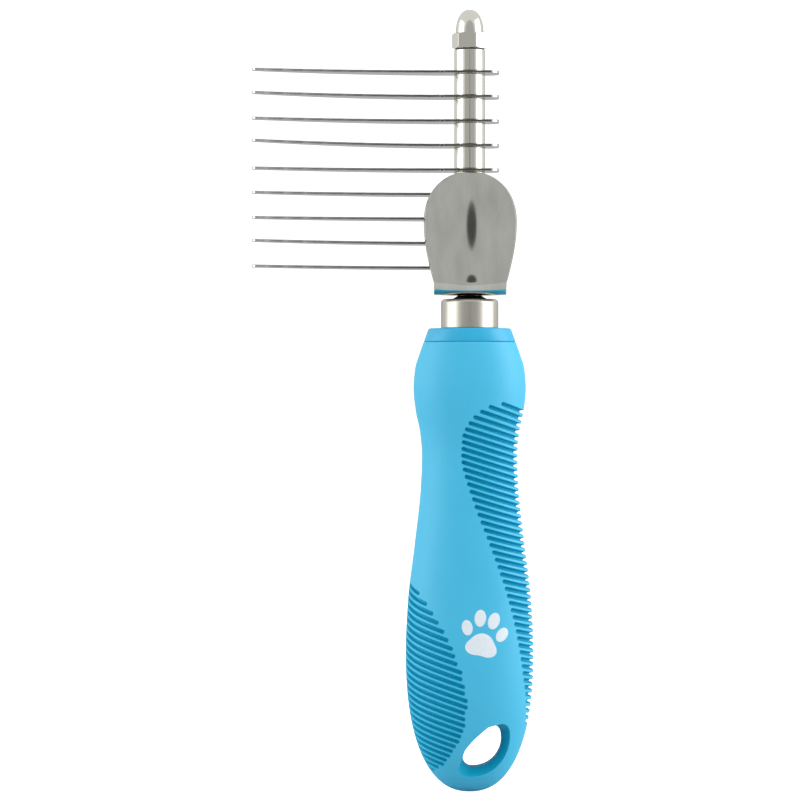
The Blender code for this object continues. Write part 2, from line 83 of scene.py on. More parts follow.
def linear(code):
    """An sRGB hex colour as linear RGBA."""
    parts = [int(code[i : i + 2], 16) / 255.0 for i in (0, 2, 4)]
    return (*[p / 12.92 if p <= 0.04045 else ((p + 0.055) / 1.055) ** 2.4 for p in parts], 1.0)


def new_finish(name, **shader_values):
    """An empty material with a Principled shader; returns it, its tree and the shader."""
    made = bpy.data.materials.new(name)
    made.use_nodes = True
    tree = made.node_tree
    shader = tree.nodes["Principled BSDF"]
    for socket, value in shader_values.items():
        shader.inputs[socket.replace("_", " ")].default_value = value
    return made, tree, shader


def noise(tree, scale, detail=2.0, stretch=None, turn=(0.0, 0.0, 0.0)):
    """Noise in the piece's own coordinates, in cycles a metre; stretch scales the axes apart."""
    where = add_node(tree, "ShaderNodeTexCoord").outputs["Object"]
    if stretch:
        values = {"Vector": where, "Rotation": turn, "Scale": stretch}
        where = add_node(tree, "ShaderNodeMapping", values).outputs[0]
    values = {"Vector": where, "Scale": scale, "Detail": detail}
    return add_node(tree, "ShaderNodeTexNoise", values).outputs["Fac"]


def vary(tree, shader, tint=None, gloss=None, relief=None):
    """Varies a shader by patterns: tint is (pattern, hex colour, hex colour), gloss is (pattern,
    lowest roughness, highest), and relief is (pattern, strength, height in metres)."""
    if tint:
        values = {0: tint[0], 6: linear(tint[1]), 7: linear(tint[2])}
        mixed = add_node(tree, "ShaderNodeMix", values, data_type="RGBA")
        tree.links.new(mixed.outputs[2], shader.inputs["Base Color"])
    if gloss:
        values = dict(zip(("Value", "To Min", "To Max"), gloss))
        ranged = add_node(tree, "ShaderNodeMapRange", values)
        tree.links.new(ranged.outputs["Result"], shader.inputs["Roughness"])
    if relief:
        bump = add_node(
            tree, "ShaderNodeBump", dict(zip(("Height", "Strength", "Distance"), relief))
        )
        tree.links.new(bump.outputs["Normal"], shader.inputs["Normal"])


def box_of(node):
    """Lowest and highest corner of a model node, in millimetres."""
    low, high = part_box(node)
    return low * 1000.0, high * 1000.0


def new_object(name, mesh):
    made = bpy.data.objects.new(name, mesh)
    bpy.context.scene.collection.objects.link(made)
    return made


def shade(mesh, sharp_angle):
    mesh.shade_smooth()
    mesh.set_sharp_from_angle(angle=math.radians(sharp_angle))


def mesh_of(shape, name):
    """Ends a bmesh as a new mesh."""
    mesh = bpy.data.meshes.new(name)
    shape.to_mesh(mesh)
    shape.free()
    return mesh


def skin(name, rings, wrap=False, sharp_angle=32.0):
    """A closed skin through rings of equal count, given in millimetres.

    With wrap the last ring joins the first; without it both ends are capped."""
    shape = bmesh.new()
    rows = [[shape.verts.new(Vector(point) * 0.001) for point in ring] for ring in rings]
    count = len(rows[0])
    pairs = list(zip(rows, rows[1:])) + ([(rows[-1], rows[0])] if wrap else [])
    for low, high in pairs:
        for step in range(count):
            after = (step + 1) % count
            shape.faces.new((low[step], low[after], high[after], high[step]))
    if not wrap:
        shape.faces.new(rows[0])
        shape.faces.new(rows[-1])
    bmesh.ops.remove_doubles(shape, verts=shape.verts, dist=0.0000005)
    bmesh.ops.recalc_face_normals(shape, faces=shape.faces)
    mesh = mesh_of(shape, name)
    shade(mesh, sharp_angle)
    return new_object(name, mesh)


def circle(radius, z, segments=96):
    turns = [2.0 * math.pi * step / segments for step in range(segments)]
    return [(radius * math.cos(turn), radius * math.sin(turn), z) for turn in turns]


def prism(name, outline, low, high):
    """A straight prism over a flat outline, along Z."""
    return skin(name, [[(x, y, level) for x, y in outline] for level in (low, high)])


def new_tree(name, inputs):
    """A geometry tree with a Geometry input, the named inputs and a Finish, and its group input."""
    tree = bpy.data.node_groups.new(name, "GeometryNodeTree")
    tree.interface.new_socket("Geometry", in_out="OUTPUT", socket_type="NodeSocketGeometry")
    kinds = {"Geometry": "Geometry", **inputs, "Finish": "Material"}
    for label, kind in kinds.items():
        tree.interface.new_socket(label, in_out="INPUT", socket_type="NodeSocket" + kind)
    return tree, add_node(tree, "NodeGroupInput").outputs


def run_tree(piece, tree, source, result, values, sharp_angle=32.0, kept=None):
    """Ends the tree, runs it on the piece with its inputs set and keeps the plain mesh.

    Faces that already have the kept material keep it; the rest take the finish."""
    whole = add_node(tree, "GeometryNodeRealizeInstances", {"Geometry": result}).outputs[0]
    painted = add_node(
        tree, "GeometryNodeSetMaterial", {"Geometry": whole, "Material": source["Finish"]}
    )
    if kept:
        own = add_node(tree, "GeometryNodeMaterialSelection", {"Material": kept})
        rest_of_it = add_node(tree, "FunctionNodeBooleanMath", {0: own.outputs[0]}, operation="NOT")
        tree.links.new(rest_of_it.outputs[0], painted.inputs["Selection"])
    add_node(tree, "NodeGroupOutput", {"Geometry": painted.outputs[0]})
    step = piece.modifiers.new(tree.name, "NODES")
    step.node_group = tree
    for item in tree.interface.items_tree:
        if item.in_out == "INPUT" and item.name in values:
            step[item.identifier] = values[item.name]
    shaped = piece.evaluated_get(bpy.context.evaluated_depsgraph_get())
    mesh = bpy.data.meshes.new_from_object(shaped)
    piece.modifiers.remove(step)
    piece.data = mesh
    shade(mesh, sharp_angle)


def carve(piece, cutters, finish, operation="DIFFERENCE", sharp_angle=32.0, kept=None):
    """Cuts the cutters out of the piece, or keeps what lies inside them, and removes them."""
    labels = [f"Cutter {number}" for number in range(1, len(cutters) + 1)]
    tree, source = new_tree(piece.name + "_carving", {label: "Object" for label in labels})
    cut = add_node(tree, "GeometryNodeMeshBoolean", operation=operation, solver="MANIFOLD")
    solid = "Mesh 1" if operation == "DIFFERENCE" else "Mesh 2"
    tree.links.new(source["Geometry"], cut.inputs[solid])
    for label in labels:
        shape = add_node(tree, "GeometryNodeObjectInfo", {"Object": source[label]})
        tree.links.new(shape.outputs["Geometry"], cut.inputs["Mesh 2"])
    values = {**dict(zip(labels, cutters)), "Finish": finish}
    run_tree(piece, tree, source, cut.outputs["Mesh"], values, sharp_angle, kept)
    for cutter in cutters:
        bpy.data.objects.remove(cutter)


# The handle's half width and half depth against the height above its lower end; below END_HEIGHT
# it rounds off to the end, by its own power in each direction.
END_HEIGHT, END_WIDTH_POWER, END_DEPTH_POWER = 36.0, 2.35, 2.0
HALF_WIDTHS = [
    (END_HEIGHT, 16.35), (48.5, 15.8), (63.0, 14.1), (78.0, 12.5), (86.0, 12.2), (92.0, 12.7),
    (97.0, 13.75), (103.0, 14.35), (108.0, 13.95), (112.0, 12.75), (118.3, 10.5),
]
HALF_DEPTHS = [
    (END_HEIGHT, 12.0), (60.0, 11.3), (75.0, 10.4), (86.0, 10.0), (103.0, 11.3), (118.3, 9.6),
]
OVAL_POWER = 2.2
HANDLE_FRONT, HANDLE_END = box_of("grip")[0].yz


def smooth_value(stations, position):
    """Monotone cubic through (position, value) stations."""
    spans = [b[0] - a[0] for a, b in zip(stations, stations[1:])]
    rises = [(b[1] - a[1]) / (b[0] - a[0]) for a, b in zip(stations, stations[1:])]
    slopes = [0.0]
    for before, after in zip(rises, rises[1:]):
        level = before * after <= 0.0
        slopes.append(0.0 if level else 2.0 * before * after / (before + after))
    slopes.append(rises[-1])
    index = 0
    while index < len(spans) - 1 and position > stations[index + 1][0]:
        index += 1
    t = min(max((position - stations[index][0]) / spans[index], 0.0), 1.0)
    start, end = stations[index][1], stations[index + 1][1]
    pull_start, pull_end = slopes[index] * spans[index], slopes[index + 1] * spans[index]
    ease = t * t * (3.0 - 2.0 * t)
    return (
        start + (end - start) * ease
        + (t**3 - 2 * t**2 + t) * pull_start
        + (t**3 - t**2) * pull_end
    )


def handle_sizes(height, inset=0.0):
    """Half width and half depth of the handle at a height above its lower end."""
    if height >= END_HEIGHT:
        return smooth_value(HALF_WIDTHS, height) - inset, smooth_value(HALF_DEPTHS, height) - inset
    fall = min((END_HEIGHT - height) / (END_HEIGHT - inset), 1.0)
    wide = (1.0 - fall**END_WIDTH_POWER) ** (1.0 / END_WIDTH_POWER)
    deep = (1.0 - fall**END_DEPTH_POWER) ** (1.0 / END_DEPTH_POWER)
    return (HALF_WIDTHS[0][1] - inset) * wide, (HALF_DEPTHS[0][1] - inset) * deep


def handle_ring(height, inset=0.0, segments=176):
    """One oval section of the handle."""
    half_width, half_depth = handle_sizes(height, inset)
    ring = []
    for step in range(segments):
        turn = 2.0 * math.pi * step / segments
        across, along = math.cos(turn), math.sin(turn)
        x = math.copysign(abs(across) ** (2.0 / OVAL_POWER), across) * half_width
        y = math.copysign(abs(along) ** (2.0 / OVAL_POWER), along) * half_depth
        ring.append((x, y, HANDLE_END + height))
    return ring


def handle_heights(inset, top, end_rows, body_rows):
    """Heights of the sections, closer together towards the rounded end."""
    rows = []
    for step in range(1, end_rows + 1):
        rise = 1.0 - math.cos(0.5 * math.pi * step / end_rows)
        rows.append(inset + (END_HEIGHT - inset) * rise)
    return rows + [END_HEIGHT + (top - END_HEIGHT) * s / body_rows for s in range(1, body_rows + 1)]


def bow_circles(x, height, reach, radius, first, last, count=13):
    """Circles (x, height, radius) strung on an arc: their hull is a bow with rounded ends."""
    turns = [first + (last - first) * step / (count - 1) for step in range(count)]
    turns = [math.radians(turn) for turn in turns]
    return [(x + reach * math.cos(a), height + reach * math.sin(a), radius) for a in turns]


# The hang hole is the hull of two bows of circles. Those of the rounder bow move outwards as the
# cut nears a face, from SCOOP_START either side of the middle, which scoops the hole's rim.
UPPER_SIDE = bow_circles(15.4, -0.2, 19.9, 0.3, 146.0, 122.0, 9)
HOLE_CIRCLES = bow_circles(0.9, 13.65, 4.9, 2.25, -95.0, 17.0) + UPPER_SIDE
RIM_CIRCLES = bow_circles(-0.3, 13.0, 8.6, 2.6, -94.0, 15.5) + UPPER_SIDE
SCOOP_START, SCOOP_DEPTH, CUTTER_END, CUTTER_STEP = 3.0, 5.5, 13.0, 0.5


def hull_outline(circles, grow, steps=120):
    """Outline of the hull of some circles, as (x, z)."""
    outline = []
    for step in range(steps):
        turn = 2.0 * math.pi * step / steps
        nx, nz = math.cos(turn), math.sin(turn)
        x, height, radius = max(circles, key=lambda c: c[0] * nx + c[1] * nz + c[2])
        outline.append((x + (radius + grow) * nx, HANDLE_END + height + (radius + grow) * nz))
    return outline


def scooped_hole(name, grow):
    """Cutter of the hang hole and its scooped rims, grown all round by some millimetres."""
    steps = round((CUTTER_END - SCOOP_START) / CUTTER_STEP)
    levels = [-CUTTER_END + CUTTER_STEP * step for step in range(steps + 1)]
    rings = []
    for y in levels + [-level for level in reversed(levels)]:
        reach = (abs(y) - SCOOP_START) / SCOOP_DEPTH
        circles = list(HOLE_CIRCLES)
        for hole, rim in zip(HOLE_CIRCLES, RIM_CIRCLES):
            circles.append(tuple(a + (b - a) * reach for a, b in zip(hole, rim)))
        rings.append([(x, y, z) for x, z in hull_outline(circles, grow)])
    return skin(name, rings)


# Polypropylene straight from a polished mould: satin, with a faint flow mottle in its gloss.
core_plastic, tree, shader = new_finish(
    "polypropylene_moulded", Base_Color=linear("2AAFDC"), IOR=1.49
)
flow, grain = noise(tree, 260.0, 3.0), noise(tree, 2600.0)
vary(tree, shader, gloss=(flow, 0.3, 0.42), relief=(grain, 0.25, 0.00002))

CORE_INSET, COLLAR_LOW, COLLAR_EDGE, COLLAR_TOP = 2.4, 114.88, 0.4, 118.3
NECK_RADIUS, ROD_BORE, POCKET_RADIUS = 6.2, 2.8, 4.92
core_top = box_of("handle_core")[1].z
collar_top = HANDLE_END + COLLAR_TOP
rings = [[(0.0, 0.0, HANDLE_END + CORE_INSET)] * 96]
rings += [handle_ring(h, CORE_INSET, 96) for h in handle_heights(CORE_INSET, COLLAR_LOW, 16, 32)]
for rise, inset in ((0.0, 0.14), (0.07, 0.04), (0.17, 0.0), (1.62, 0.0), (3.02, 0.0)):
    rings.append(handle_ring(COLLAR_LOW + rise, inset, 96))
for step in range(1, 6):
    turn = 0.5 * math.pi * step / 5
    rise, inset = COLLAR_EDGE * math.sin(turn), COLLAR_EDGE * (1.0 - math.cos(turn))
    rings.append(handle_ring(COLLAR_TOP - COLLAR_EDGE + rise, inset, 96))
rings += [circle(NECK_RADIUS, collar_top), circle(NECK_RADIUS, core_top - 0.3)]
rings.append(circle(NECK_RADIUS - 0.3, core_top))
core = skin("handle_core_visual", rings)
rod_low, rod_high = box_of("rod")
nut_low, nut_high = box_of("anchor_nut")
cutters = [
    skin("rod_bore", [circle(ROD_BORE, rod_low.z - 0.3), circle(ROD_BORE, core_top + 3.0)]),
    skin("nut_pocket", [circle(POCKET_RADIUS, z) for z in (nut_low.z - 0.3, nut_high.z + 0.3)]),
    scooped_hole("hang_eye", 1.6),
]
carve(core, cutters, core_plastic)
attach(core, "comb")
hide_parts("handle_core")

# ---------------------------------------------------------------- rod and its anchor nut
# An M5 steel rod, zinc plated: two flats stop the blades from turning, its lower end is screwed
# into a hexagon nut inside the core, and the rolled thread at its tip takes the acorn nut.

# Drawn and rolled steel under thin zinc: fine lines along the rod.
rod_steel, tree, shader = new_finish(
    "zinc_plated_steel_rolled", Base_Color=linear("C4C6C4"), Metallic=1.0
)
lines = noise(tree, 1.0, stretch=(3000.0, 3000.0, 250.0))
vary(tree, shader, gloss=(lines, 0.2, 0.42), relief=(lines, 0.2, 0.00001))

ROD_RADIUS, ROD_FLATS = 2.5, 2.1
THREAD_PITCH, THREAD_ROOT, THREAD_CREST = 0.8, 1.98, 2.38
thread_low = box_of("spacer_1")[1].z - 1.0
flats_low = box_of("ferrule")[1].z


def rod_ring(z, radius, half_flats=9.0):
    return [(x, min(max(y, -half_flats), half_flats), z) for x, y, z in circle(radius, z, 64)]


def thread_ring(z):
    """Section of the rolled thread: a trapezoid of 60 degree flanks round a helix."""
    ring = []
    limit = 1.7 + (rod_high.z - z)
    for step in range(64):
        phase = ((z - thread_low) / THREAD_PITCH - step / 64) % 1.0
        flank = min(max(1.5 - abs(phase - 0.5) * 4.2, 0.0), 1.0)
        radius = min(THREAD_ROOT + (THREAD_CREST - THREAD_ROOT) * flank, limit)
        turn = 2.0 * math.pi * step / 64
        ring.append((radius * math.cos(turn), radius * math.sin(turn), z))
    return ring


rings = [rod_ring(rod_low.z, ROD_RADIUS - 0.4)]
rings += [rod_ring(z, ROD_RADIUS) for z in (rod_low.z + 0.4, flats_low)]
rings += [rod_ring(z, ROD_RADIUS, ROD_FLATS) for z in (flats_low, thread_low - 0.6)]
rings += [rod_ring(thread_low - gap, ROD_RADIUS) for gap in (0.5, 0.1)]
thread_length = rod_high.z - thread_low
rows = round(10.0 * thread_length / THREAD_PITCH)
rings += [thread_ring(thread_low + thread_length * row / rows) for row in range(rows + 1)]
rod = skin("rod_visual", rings, sharp_angle=40.0)
rod.data.materials.append(rod_steel)
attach(rod, "comb")
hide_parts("rod")
for material_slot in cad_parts["anchor_nut"].material_slots:
    material_slot.material = rod_steel

# ---------------------------------------------------------------- rubber grip
# Thermoplastic rubber moulded over the core, with moulded finger ribs round both sides of
# the handle, and a hang hole through its lower end whose rim is scooped out on both faces.

# Soft rubber from a lightly eroded mould: satin, with a fine grain that is drawn about twice as
# coarse as the real 0.15 mm so that it shows, and a slight mottle where hands polish it.
grip_rubber, tree, shader = new_finish("soft_rubber_moulded", IOR=1.5)
grain, mottle = noise(tree, 3200.0), noise(tree, 90.0, 4.0)
vary(
    tree, shader, (mottle, "3DB8E1", "45BEE6"), (mottle, 0.42, 0.56), (grain, 0.35, 0.00003)
)

# The same rubber in the ribs and the hang hole, painted a deeper colour: painted shade for these
# recesses.
painted_groove_shade_rubber, tree, shader = new_finish("soft_rubber_painted_groove_shade", Roughness=0.6, IOR=1.38)
vary(tree, shader, (noise(tree, 700.0, 3.0), "00A4C8", "04ACD0"))

GRIP_TOP, GRIP_EDGE, GRIP_WALL = 114.8, 0.15, 2.1
rings = [[(0.0, 0.0, HANDLE_END)] * 176]
rings += [handle_ring(h) for h in handle_heights(0.0, GRIP_TOP - GRIP_EDGE, 36, 110)]
for step in range(1, 4):
    turn = 0.5 * math.pi * step / 3
    rise, inset = GRIP_EDGE * math.sin(turn), GRIP_EDGE * (1.0 - math.cos(turn))
    rings.append(handle_ring(GRIP_TOP - GRIP_EDGE + rise, inset))
grip = skin("grip_visual", rings)

heights = handle_heights(GRIP_WALL, GRIP_TOP + 1.0, 16, 32)
cavity_rings = [[(0.0, 0.0, HANDLE_END + GRIP_WALL)] * 64]
cavity_rings += [handle_ring(height, GRIP_WALL, 64) for height in heights]
cavity = skin("cavity", cavity_rings)
carve(cavity, [scooped_hole("lining", 1.3)], grip_rubber)

scoop = scooped_hole("hang_hole", 0.0)
# The hang hole's walls take the deeper colour, painted shade for the hole.
scoop.data.materials.append(painted_groove_shade_rubber)

# The ribs: each groove is one path over the surface, given as its height at the handle's edge,
# its slope, and the line where the grooves of that side end, as (height, x).
GROOVE_HALF, GROOVE_DEPTH, SHORTEST_GROOVE = 0.38, 1.05, 1.2
THUMB_SIDE_TOP, THUMB_SIDE_PITCH, THUMB_SIDE_COUNT, THUMB_SIDE_FADE = 96.9, 1.715, 47, 0.45
PALM_SIDE_TOP, PALM_SIDE_PITCH, PALM_SIDE_COUNT, PALM_SIDE_FADE = 53.5, 1.722, 28, 1.6
PALM_SIDE_LOWEST = 4.0
THUMB_SIDE_ENDS = [
    (18.5, 14.2), (22.0, 14.3), (30.1, 13.4), (41.1, 11.6), (52.4, 8.7), (64.0, 4.6), (76.1, 0.05),
    (85.6, -2.3), (90.6, -2.1), (94.9, 0.0), (97.3, 2.7), (98.4, 4.75), (99.0, 7.9),
]
THUMB_SIDE_SLOPES = [
    (18.0, 0.25), (52.0, 0.26), (62.0, 0.27), (74.0, 0.31), (88.0, 0.32), (97.0, 0.366),
]
PALM_SIDE_ENDS = [
    (5.3, -8.8), (7.3, -6.5), (9.6, -4.6), (12.3, -3.1), (15.1, -1.8), (18.1, -1.07), (23.0, -0.6),
    (28.4, -1.3), (34.4, -3.3), (40.9, -6.4), (48.0, -10.7), (53.7, -14.8),
]
PALM_SIDE_SLOPE = 0.34


def on_handle(share, height, face):
    """Point of the handle's surface at a share of its half width; face is -1 in front, 1 behind."""
    half_width, half_depth = handle_sizes(height)
    y = face * half_depth * max(1.0 - abs(share) ** OVAL_POWER, 0.0) ** (1.0 / OVAL_POWER)
    return Vector((share * half_width, y, HANDLE_END + height))


def outwards(share, height, face):
    """Unit normal of the handle's surface there."""
    half_width, half_depth = handle_sizes(height)
    point = on_handle(share, height, face)
    nx = math.copysign(abs(share) ** (OVAL_POWER - 1.0), share) / half_width
    ny = face * (abs(point.y) / half_depth) ** (OVAL_POWER - 1.0) / half_depth
    above, below = handle_sizes(height + 0.2), handle_sizes(height - 0.2)
    wider, deeper = [(a - b) / 0.4 for a, b in zip(above, below)]
    nz = -(abs(nx * share) * wider + abs(ny * point.y / half_depth) * deeper)
    return Vector((nx, ny, nz)).normalized()


def thumb_side_groove(edge_height):
    """One groove from its end in front, round the +X edge, to its end behind."""
    slope = smooth_value(THUMB_SIDE_SLOPES, edge_height)
    edge_width = handle_sizes(edge_height)[0]
    share = 1.0
    while share > -0.5:
        height = edge_height + slope * edge_width * (1.0 - share)
        if share * handle_sizes(height)[0] <= smooth_value(THUMB_SIDE_ENDS, height):
            break
        share -= 0.002
    steps = max(10, round(26 * (1.0 - share) ** 0.5))
    path = []
    for step in range(-steps, steps + 1):
        part = 1.0 - (1.0 - share) * (step / steps) ** 2
        height = edge_height + slope * edge_width * (1.0 - part)
        path.append((part, height, 1.0 if step > 0 else -1.0))
    return path


def palm_side_groove(edge_height, face):
    """One groove from just inside the -X edge to its end, sinking as it goes round."""
    path = []
    height = edge_height
    turn = math.pi
    before = None
    while True:
        share = -abs(math.cos(turn)) ** (2.0 / OVAL_POWER)
        point = on_handle(share, height, face)
        if before is not None:
            height -= PALM_SIDE_SLOPE * math.hypot(point.x - before.x, point.y - before.y)
        if height < PALM_SIDE_LOWEST or point.x >= smooth_value(PALM_SIDE_ENDS, height):
            return path
        path.append((share, height, face))
        before = point
        turn -= 0.035


def add_path(shape, path, normal_layer, size_layer, soft_start):
    """Adds one groove's path with the surface's normal and the cut's size at each point."""
    if len(path) < 4:
        return
    for end in (0, -1):
        inner = path[1 if end == 0 else -2]
        apart = (on_handle(*path[end]) - on_handle(*inner)).length
        between = []
        for along in (0.03, 0.1, 0.2, 0.34):
            part = along / apart
            if part < 0.95:
                moved = [a + (b - a) * part for a, b in zip(path[end][:2], inner[:2])]
                between.append((*moved, inner[2]))
        if end == 0:
            path = path[:1] + between + path[1:]
        else:
            path = path[:-1] + between[::-1] + path[-1:]
    points = [on_handle(*place) for place in path]
    lengths = [0.0]
    for a, b in zip(points, points[1:]):
        lengths.append(lengths[-1] + (b - a).length)
    if lengths[-1] < SHORTEST_GROOVE:
        return
    before = None
    for place, point, length in zip(path, points, lengths):
        vert = shape.verts.new(point * 0.001)
        vert[normal_layer] = outwards(*place)
        from_start = min(length / soft_start, 1.0)
        from_end = min((lengths[-1] - length) / THUMB_SIDE_FADE, 1.0)
        round_off = math.sqrt(max(1.0 - (1.0 - min(from_start, from_end)) ** 2, 0.0))
        vert[size_layer] = max(round_off, 0.04)
        if before:
            shape.edges.new((before, vert))
        before = vert


shape = bmesh.new()
normal_layer = shape.verts.layers.float_vector.new("outwards")
size_layer = shape.verts.layers.float.new("cut_size")
for number in range(THUMB_SIDE_COUNT):
    path = thumb_side_groove(THUMB_SIDE_TOP - THUMB_SIDE_PITCH * number)
    add_path(shape, path, normal_layer, size_layer, THUMB_SIDE_FADE)
for number in range(PALM_SIDE_COUNT):
    for face in (-1.0, 1.0):
        path = palm_side_groove(PALM_SIDE_TOP - PALM_SIDE_PITCH * number, face)
        add_path(shape, path, normal_layer, size_layer, PALM_SIDE_FADE)
mesh = mesh_of(shape, "groove_paths")
grooves = new_object("groove_paths", mesh)

# The cutter's section is a round-bottomed slot with slightly flared lips, standing proud of the
# surface so that it cuts cleanly.
lips = [(0.8, 0.5), (0.62, 0.03), (0.5, -0.09), (0.43, -0.27), (0.39, -0.55)]
slot_shape = list(lips)
slot_shape += [
    (GROOVE_HALF * math.cos(a), -(GROOVE_DEPTH - GROOVE_HALF) - GROOVE_HALF * math.sin(a))
    for a in (0.25 * math.pi * step for step in range(5))
]
slot_shape += [(-across, out) for across, out in reversed(lips)]
section = bpy.data.curves.new("slot_section", "CURVE")
section.dimensions = "2D"
spline = section.splines.new("POLY")
spline.points.add(len(slot_shape) - 1)
for point, (across, out) in zip(spline.points, slot_shape):
    point.co = (out * 0.001, across * 0.001, 0.0, 1.0)
spline.use_cyclic_u = True
section_object = new_object("slot_section", section)

tree, source = new_tree("rib_grooves", {"Section": "Object"})
line = add_node(tree, "GeometryNodeMeshToCurve", {"Mesh": source["Geometry"]})
away = add_node(
    tree, "GeometryNodeInputNamedAttribute", {"Name": "outwards"}, data_type="FLOAT_VECTOR"
)
size = add_node(tree, "GeometryNodeInputNamedAttribute", {"Name": "cut_size"}, data_type="FLOAT")
turned_line = add_node(
    tree,
    "GeometryNodeSetCurveNormal",
    {"Curve": line.outputs[0], "Normal": away.outputs["Attribute"]},
    mode="FREE",
)
slot_line = add_node(tree, "GeometryNodeObjectInfo", {"Object": source["Section"]})
swept = add_node(
    tree,
    "GeometryNodeCurveToMesh",
    {
        "Curve": turned_line.outputs[0],
        "Profile Curve": slot_line.outputs["Geometry"],
        "Scale": size.outputs["Attribute"],
        "Fill Caps": True,
    },
)
values = {"Section": section_object, "Finish": painted_groove_shade_rubber}
run_tree(grooves, tree, source, swept.outputs[0], values)
bpy.data.objects.remove(section_object)
cleaned = bmesh.new()
cleaned.from_mesh(grooves.data)
bmesh.ops.recalc_face_normals(cleaned, faces=cleaned.faces)
cleaned.to_mesh(grooves.data)
cleaned.free()

# Faces of the grooves and the hang hole keep the deeper colour, painted shade for the recesses.
carve(grip, [cavity, scoop, grooves], grip_rubber, sharp_angle=30.0, kept=painted_groove_shade_rubber)
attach(grip, "comb")
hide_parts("grip")

# ---------------------------------------------------------------- printed mark
# A paw print in white ink, pad printed onto the rubber of the palm swell: one large pad and four
# toes, each a film of ink that follows the surface and stands a few hundredths of a millimetre up.

# Two-part pad printing ink: matt white, with slightly uneven cover.
pad_print, tree, shader = new_finish("pad_printed_ink", Roughness=0.5, IOR=1.5)
cover = noise(tree, 1400.0, 3.0)
vary(tree, shader, (cover, "D6E4EF", "EEF4F9"), relief=(cover, 0.2, 0.00001))

# Pads as (x, y, half width, half height, turn in degrees) on the flat artwork.
PAW_CENTRE = (3.3, 40.3)
PAW_TURN = math.radians(-12.0)
PAW_PADS = [
    (0.0, -2.6, 3.9, 3.0, 0.0), (-4.5, 1.3, 1.35, 1.95, 22.0), (-1.75, 4.3, 1.45, 2.15, 7.0),
    (1.75, 4.3, 1.45, 2.15, -7.0), (4.5, 1.3, 1.35, 1.95, -22.0),
]
INK_HEIGHT, LOBE_RISE, FOOT_RISE = 0.03, 0.1, 0.12


def ink_point(across, up, out):
    """Point of the artwork laid on the front of the handle, out from its surface."""
    x = PAW_CENTRE[0] + across * math.cos(PAW_TURN) - up * math.sin(PAW_TURN)
    height = PAW_CENTRE[1] + across * math.sin(PAW_TURN) + up * math.cos(PAW_TURN)
    share = x / handle_sizes(height)[0]
    point = on_handle(share, height, -1.0) + outwards(share, height, -1.0) * out
    point.y = max(point.y, HANDLE_FRONT)
    return point


def pad_ring(pad, part, out):
    """One closed line round a pad, at a part of its size; the large pad has three lobes."""
    middle_x, middle_y, half_width, half_height, tilt = pad
    ring = []
    for step in range(48):
        turn = 2.0 * math.pi * step / 48
        bulge = 1.0
        if pad == PAW_PADS[0]:
            bulge += LOBE_RISE * math.cos(3.0 * (turn - math.pi / 2.0))
            bulge -= FOOT_RISE * max(-math.sin(turn), 0.0) ** 6
        a = half_width * part * bulge * math.cos(turn)
        b = half_height * part * bulge * math.sin(turn)
        lean = math.radians(tilt)
        across = middle_x + a * math.cos(lean) - b * math.sin(lean)
        up = middle_y + a * math.sin(lean) + b * math.cos(lean)
        ring.append(ink_point(across, up, out))
    return ring


paw_pieces = []
for number, pad in enumerate(PAW_PADS):
    rings = [pad_ring(pad, part, -0.06) for part in (0.001, 0.5, 0.98)]
    rings += [pad_ring(pad, 1.0, -0.02), pad_ring(pad, 1.0, 0.02), pad_ring(pad, 0.985, INK_HEIGHT)]
    rings += [pad_ring(pad, part, INK_HEIGHT) for part in (0.7, 0.4, 0.001)]
    paw_pieces.append(skin(f"pad_{number}", rings))
ink = bmesh.new()
for piece in paw_pieces:
    ink.from_mesh(piece.data)
    bpy.data.objects.remove(piece)
mesh = mesh_of(ink, "paw_print")
shade(mesh, 40.0)
paw = new_object("paw_print", mesh)
paw.data.materials.append(pad_print)
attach(paw, "comb")

# ---------------------------------------------------------------- ferrule
# A deep drawn steel cup, tumbled and nickel plated, pushed over the core's neck; the rod comes
# out of the hole in its top, and its rounded shoulder carries the clamped stack.

# Bright nickel, for the spacers and the acorn nut: a warm mirror with faint rings from the
# polishing mop, drawn about three times as coarse as real so that they show.
nickel_plate, tree, shader = new_finish(
    "nickel_plated_polished", Base_Color=linear("D3D1C8"), Metallic=1.0
)
mopped = noise(tree, 1.0, stretch=(300.0, 300.0, 6000.0))
vary(tree, shader, gloss=(mopped, 0.1, 0.18), relief=(mopped, 0.15, 0.000006))

# The ferrule is tumbled before plating, not mopped: the same nickel over a softer, duller ground.
nickel_satin, tree, shader = new_finish(
    "nickel_plated_tumbled", Base_Color=linear("BCBAB0"), Metallic=1.0
)
tumbled = noise(tree, 700.0, 3.0)
vary(tree, shader, gloss=(tumbled, 0.26, 0.36), relief=(tumbled, 0.1, 0.00001))


def held(profile):
    """The closed profile with points by each corner of a long side, to keep its faces true."""
    points = []
    for a, b in zip(profile, profile[1:] + profile[:1]):
        length = math.dist(a, b)
        points.append(a)
        if length > 0.3:
            for part in (0.04 / length, 1.0 - 0.04 / length):
                points.append(tuple(p + (q - p) * part for p, q in zip(a, b)))
    return points


def turned(name, profile):
    """A ring-shaped turned piece from a closed (radius, z) profile."""
    return skin(name, [circle(radius, z, 112) for radius, z in held(profile)], wrap=True)


low, high = box_of("ferrule")
FERRULE_WALL, SHOULDER = 0.85, 1.0
inner, centre_x, centre_z = high.x - FERRULE_WALL, high.x - SHOULDER, high.z - SHOULDER
profile = [(inner, low.z), (high.x - 0.15, low.z), (high.x, low.z + 0.15)]
for step in range(11):
    turn = 0.5 * math.pi * step / 10
    profile.append((centre_x + SHOULDER * math.cos(turn), centre_z + SHOULDER * math.sin(turn)))
profile += [(2.95, high.z), (2.8, high.z - 0.15), (2.8, high.z - FERRULE_WALL)]
profile += [(inner - 0.3, high.z - FERRULE_WALL), (inner, high.z - FERRULE_WALL - 0.3)]
ferrule = turned("ferrule_visual", profile)
ferrule.data.materials.append(nickel_satin)
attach(ferrule, "comb")
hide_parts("ferrule")
